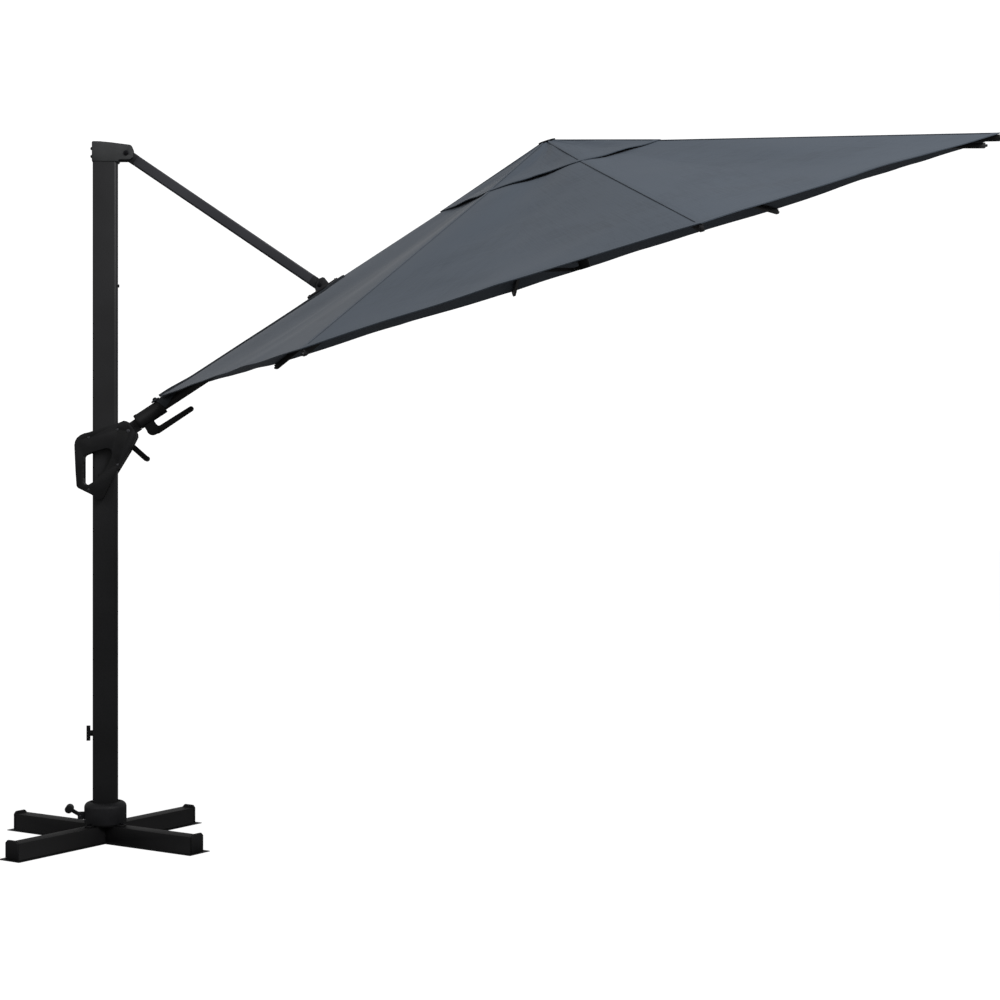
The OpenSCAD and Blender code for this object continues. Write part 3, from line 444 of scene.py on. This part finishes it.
def canopyPoint(azimuth, share, outerRadius, baseLift=0.0, sag=None, ripple=1.0):
    # a point of the cloth: azimuth in degrees from the outer rib, share from the top (0) to the hem (1)
    nearestRib = round(azimuth / wedgeSpan) * wedgeSpan
    fromRib = wrapAngle(azimuth - nearestRib)
    between = abs(fromRib) / halfWedge
    middleAngle = halfWedge - abs(fromRib)
    chord = outerRadius * math.cos(math.radians(halfWedge)) / math.cos(math.radians(middleAngle))
    hollow = cloth["hemHollow"] * outerRadius / canopyRadius * (1 - (1 - between) ** 2)
    reach = (chord - hollow * share ** 2) * share
    along = reach * math.cos(math.radians(middleAngle)) / math.cos(math.radians(halfWedge))
    height = -canopyRise * along / canopyRadius
    lengthwise = math.sin(math.pi * share ** 1.3) * (1 - cloth["hemSag"]) + cloth["hemSag"] * share
    across = math.sin(math.pi / 2 * between) ** 2
    hang = (cloth["panelSag"] if sag is None else sag) * across * lengthwise
    drop = boomDroop(azimuth, share * outerRadius) if outerRadius == canopyRadius else 0.0
    raised = baseLift + (cloth["apexLift"] * (1 - share) if outerRadius == flapRadius else 0.0)
    turn = math.radians(azimuth)
    flat = topPoint + reach * (math.cos(turn) * outAxis + math.sin(turn) * farAxis)
    waves = ripple * clothWaves(azimuth, share, between, flat)
    return flat + upAxis * (raised + height - hang - drop + waves)


def makeGrid(name, columns, rows):
    # a flat grid whose own corners run from 0 to 1, to be laid onto the cloth's surface
    deselectAll()
    bpy.ops.mesh.primitive_grid_add(x_subdivisions=columns, y_subdivisions=rows, size=1.0,
                                    location=(0, 0, 0))
    grid = bpy.context.active_object
    grid.name = name
    grid.data.name = name
    return grid


def layGrid(grid, place, flatPlace):
    # moves each grid corner to its place and writes its flat position, in metres, as the UV map
    mesh = grid.data
    starts = [(v.co.x + 0.5, v.co.y + 0.5) for v in mesh.vertices]
    while mesh.uv_layers:
        mesh.uv_layers.remove(mesh.uv_layers[0])
    layer = mesh.uv_layers.new(name="clothMetres")
    for loop in mesh.loops:
        layer.data[loop.index].uv = flatPlace(*starts[loop.vertex_index])
    for vertex, start in zip(mesh.vertices, starts):
        vertex.co = place(*start)


def faceUpwards(grid):
    # the cloth's outer face looks up the canopy axis
    total = sum((p.normal * p.area for p in grid.data.polygons), Vector())
    if total.dot(upAxis) < 0:
        grid.data.flip_normals()


def thicken(grid, thickness, offset):
    solid = grid.modifiers.new("thickness", "SOLIDIFY")
    solid.thickness = thickness
    solid.offset = offset
    solid.use_even_offset = False
    applyModifiers(grid)
    bpy.ops.object.shade_smooth_by_angle(angle=math.radians(40))


def finishCloth(grid, rib, finish, thickness, offset=-1.0):
    faceUpwards(grid)
    area = sum(p.area for p in grid.data.polygons)
    thicken(grid, thickness, offset)
    giveMaterial(grid, finish)
    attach(grid, "boom" if rib == boomAngle else ribNode(rib))
    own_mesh(grid)
    return area


def finishCuffInPaintedShade(cuff):
    thicken(cuff, cloth["thickness"], 1.0)
    # the dark tape finish on the cuff is painted shade: it stands in for the shadow on the cuff's sides and
    # underside
    giveMaterial(cuff, "tape")
    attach(cuff, "boom")


def slitHalf(reach):
    # half width of the slit along the boom at a distance from the top
    start = bracketReach - cloth["slitBegin"]
    ramp = min(1.0, max(0.0, (reach - start + cloth["slitRamp"]) / cloth["slitRamp"]))
    beyond, narrowing = cloth["slitClose"]
    past = min(1.0, max(0.0, (reach - bracketReach - beyond) / narrowing))
    wide = cloth["slitWide"] * math.sin(ramp * math.pi / 2) * (1 - past)
    return wide + cloth["slitNarrow"] * past * (ramp > 0)


def wedgeAngle(rib, across, share, side):
    # azimuth at a fraction across the wedge; the boom's wedge keeps clear of its slit
    if side == 0:
        return rib + (across - 0.5) * wedgeSpan
    reach = max(0.05, share * canopyRadius)
    slit = math.degrees(math.atan2(slitHalf(reach), reach))
    return rib + side * (slit + across * (halfWedge - slit))


def makeWedge(name, rib, radius, innerShare, lift, columns, rows, side=0, ripple=1.0, sag=None):
    grid = makeGrid(name, columns, rows)

    def place(across, down):
        share = innerShare + down * (1 - innerShare)
        return canopyPoint(wedgeAngle(rib, across, share, side), share, radius, lift, sag, ripple)

    def flatPlace(across, down):
        share = innerShare + down * (1 - innerShare)
        fromRib = math.radians(wedgeAngle(rib, across, share, side) - rib)
        return (share * radius * math.tan(fromRib), share * radius)

    layGrid(grid, place, flatPlace)
    return grid


def makeHem(name, rib, radius, lift, side=0, ripple=1.0, sag=None):
    # a folded binding along the wedge's outer edge
    grid = makeGrid(name, 48, 3)
    inner = 1 - cloth["hemWidth"] / radius

    def place(across, down):
        share = inner + down * (1 - inner)
        return canopyPoint(wedgeAngle(rib, across, share, side), share, radius, lift + cloth["hemLift"], sag, ripple)

    def flatPlace(across, down):
        # a chord of 45 degrees is 0.76 of the radius
        return ((down - 0.5) * cloth["hemWidth"], across * radius * 0.76)

    layGrid(grid, place, flatPlace)
    return grid


def makeSeam(name, rib, radius, innerShare, lift, sag=None):
    # the flat-felled seam that runs down over the rib
    grid = makeGrid(name, 3, 60)

    def place(across, down):
        share = innerShare + down * (cloth["seamEnd"] - innerShare)
        half = math.degrees(math.atan2(cloth["seamWidth"] / 2, max(0.08, share * radius)))
        return canopyPoint(rib + (across * 2 - 1) * half, share, radius, lift + cloth["seamLift"], sag, 0.0)

    def flatPlace(across, down):
        return ((across - 0.5) * cloth["seamWidth"], down * radius)

    layGrid(grid, place, flatPlace)
    return grid


def makeBinding(name, side):
    # dark tape folded over the edge of the slit beside the boom
    grid = makeGrid(name, 3, 70)
    first = (bracketReach - cloth["slitBegin"]) / canopyRadius

    def place(across, down):
        share = first + down * (1 - first)
        reach = share * canopyRadius
        aside = slitHalf(reach) + across * cloth["bindingWidth"]
        return canopyPoint(boomAngle + side * math.degrees(math.atan2(aside, reach)), share, canopyRadius, 0.0)

    def flatPlace(across, down):
        return ((across - 0.5) * cloth["bindingWidth"], down * canopyRadius * (1 - first))

    layGrid(grid, place, flatPlace)
    return grid


def boomSides():
    # across the boom, and square to it away from the ground
    sideAxis = boomAxis.cross(upAxis).normalized()
    return sideAxis, sideAxis.cross(boomAxis).normalized()


def makeCuff():
    # a cloth sleeve that draws the tip of the canopy over the end of the collar; it takes the dark binding tape, not
    # the canvas, as painted shade for the shadow on its sides and underside
    grid = makeGrid("boomCuff", 24, 16)
    sideAxis, overAxis = boomSides()

    def place(across, down):
        half = math.radians(cloth["cuffWrap"] * (1 - cloth["cuffOpen"] * down))
        turn = (across * 2 - 1) * half
        radius = cloth["cuffRadius"] + cloth["cuffFlare"] * down
        along = cloth["cuffStart"] + down * cloth["cuffLength"] - cloth["cuffLip"] * (1 - down) * math.cos(turn)
        return boomLine + along * boomAxis + radius * (math.cos(turn) * overAxis + math.sin(turn) * sideAxis)

    def flatPlace(across, down):
        return ((across - 0.5) * cloth["cuffFlatWidth"], down * cloth["cuffLength"])

    layGrid(grid, place, flatPlace)
    return grid


def flatSize(radius):
    # the rectangle that a panel is cut from: its width at the tips, its length down the slope
    return (2 * radius * math.tan(math.radians(halfWedge)), radius / math.cos(math.radians(cloth["slope"])))


def declareCloth(radius):
    width, length = flatSize(radius)


trimBuild = {
    # kind of trim: (finish, thickness, side that it grows to)
    "hem": ("canvas", 0.0026, 0.0), "flapHem": ("canvas", 0.0024, 0.0),
    "seam": ("canvas", 0.0012, 1.0), "binding": ("tape", cloth["bindingThickness"], 1.0),
}


def buildCanopy():
    innerShare = cloth["ventRadius"] / canopyRadius
    lift = cloth["canopyLift"]
    for rib, wedgeName in zip(ribAngles, wedgeNames):
        sides = [(1, "Near"), (-1, "Far")] if rib == boomAngle else [(0, "")]
        for side, sideName in sides:
            label = wedgeName.capitalize() + sideName
            wedge = makeWedge("canopy" + label, rib, canopyRadius, innerShare, lift, 26 if side else 48, 90, side)
            trims = {"hem": makeHem("hem" + label, rib, canopyRadius, lift, side)}
            if side:
                trims["binding"] = makeBinding("binding" + sideName, side)
            else:
                trims["seam"] = makeSeam("seam" + label, rib, canopyRadius, innerShare, lift)
            area = finishCloth(wedge, rib, "canvas", cloth["thickness"])
            for kind, trim in trims.items():
                finishCloth(trim, rib, *trimBuild[kind])
            if sideName == "Near":
                trims["cuff"] = makeCuff()
                finishCuffInPaintedShade(trims["cuff"])
            declareCloth(canopyRadius)
            if rib == 0:
                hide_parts("canopy_fabric")


def buildFlap():
    inner, lift = cloth["flapInner"], cloth["flapLift"]
    ripple, sag = cloth["flapRipple"], cloth["flapSag"]
    for rib, wedgeName in zip(ribAngles, wedgeNames):
        label = wedgeName.capitalize()
        wedge = makeWedge("flap" + label, rib, flapRadius, inner, lift, 32, 30, ripple=ripple, sag=sag)
        hem = makeHem("flapHem" + label, rib, flapRadius, lift, ripple=ripple, sag=sag)
        seam = makeSeam("flapSeam" + label, rib, flapRadius, inner, lift, sag=sag)
        area = finishCloth(wedge, rib, "canvas", cloth["thickness"])
        finishCloth(hem, rib, *trimBuild["flapHem"])
        finishCloth(seam, rib, *trimBuild["seam"])
        declareCloth(flapRadius)
        if rib == 0:
            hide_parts("vent_flap")


# the webbing loop, hooked over the knob on the boom collar
knobLoop = {"along": 0.087, "height": 0.0335, "radius": 0.0138, "thick": 0.0036}


def buildKnobLoop():
    overAxis = boomSides()[1]
    spot = boomLine + knobLoop["along"] * boomAxis + knobLoop["height"] * overAxis
    deselectAll()
    bpy.ops.mesh.primitive_torus_add(major_segments=40, minor_segments=12, major_radius=knobLoop["radius"],
                                     minor_radius=knobLoop["thick"], location=spot)
    loop = bpy.context.active_object
    loop.name = loop.data.name = "knobLoop"
    loop.rotation_euler = overAxis.to_track_quat("Z", "Y").to_euler()
    bpy.ops.object.transform_apply(location=True, rotation=True, scale=True)
    bpy.ops.object.shade_smooth_by_angle(angle=math.radians(40))
    giveMaterial(loop, "tape")
    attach(loop, "boom")


buildCanopy()
buildFlap()
buildKnobLoop()
print("canopy sewn")


# ---- Floor, light and camera ----

studio = {
    "paperBounce": "#787878", "paperGlow": 0.96,          # the floor throws back little light but looks white
    "skyColour": "#ffffff", "skySeen": 1.1, "skyStrength": 0.30,
    "lights": [("keyLight", (6.0, -5.5, 8.0), 5.0, 720), ("fillLight", (-6.0, -6.0, 6.5), 5.0, 110)],
    "aim": (1.4, 0, 1.9),
    "cameraPlace": (0.651, -7.096, 1.296), "cameraYaw": 6.922, "lens": 65.9,
}


def buildFloor():
    deselectAll()
    bpy.ops.mesh.primitive_plane_add(size=80, location=(0, 0, -0.0005))
    floor = bpy.context.active_object
    floor.name = "studioFloor"
    paint, tree = startMaterial("studioPaper")
    rays = addNode(tree, "ShaderNodeLightPath")
    glow = addNode(tree, "ShaderNodeMath", {"operation": "MULTIPLY", 1: studio["paperGlow"]},
                   {0: (rays, "Is Camera Ray")})
    skin = addNode(tree, "ShaderNodeBsdfPrincipled",
                   {"Base Color": linearColour(studio["paperBounce"]), "Roughness": 1.0,
                    "Specular IOR Level": 0.0, "Emission Color": (1, 1, 1, 1)},
                   {"Emission Strength": (glow, "Value")})
    addNode(tree, "ShaderNodeOutputMaterial", {}, {"Surface": (skin, "BSDF")})
    floor.data.materials.append(paint)


def buildSky():
    # the sky looks pure white and lights the parasol more gently than that
    world = bpy.data.worlds.new("studioSky")
    world.use_nodes = True
    tree = world.node_tree
    background = tree.nodes["Background"]
    rays = addNode(tree, "ShaderNodeLightPath")
    strength = addNode(tree, "ShaderNodeMapRange", {"To Min": studio["skyStrength"], "To Max": studio["skySeen"]},
                       {"Value": (rays, "Is Camera Ray")})
    background.inputs["Color"].default_value = linearColour(studio["skyColour"])
    tree.links.new(strength.outputs["Result"], background.inputs["Strength"])
    bpy.context.scene.world = world


def buildLights():
    for name, place, size, power in studio["lights"]:
        deselectAll()
        bpy.ops.object.light_add(type="AREA", location=place)
        lamp = bpy.context.active_object
        lamp.name = name
        lamp.data.size = size
        lamp.data.energy = power
        lamp.rotation_euler = (Vector(studio["aim"]) - Vector(place)).to_track_quat("-Z", "Y").to_euler()


def buildCamera():
    deselectAll()
    bpy.ops.object.camera_add(location=studio["cameraPlace"],
                              rotation=(math.radians(90), 0, -math.radians(studio["cameraYaw"])))
    camera = bpy.context.active_object
    camera.data.lens = studio["lens"]
    camera.data.sensor_width = 36
    bpy.context.scene.camera = camera


def buildStudio():
    buildFloor()
    buildSky()
    buildLights()
    buildCamera()
    bpy.context.scene.view_settings.view_transform = "Standard"


buildStudio()
print("studio set")
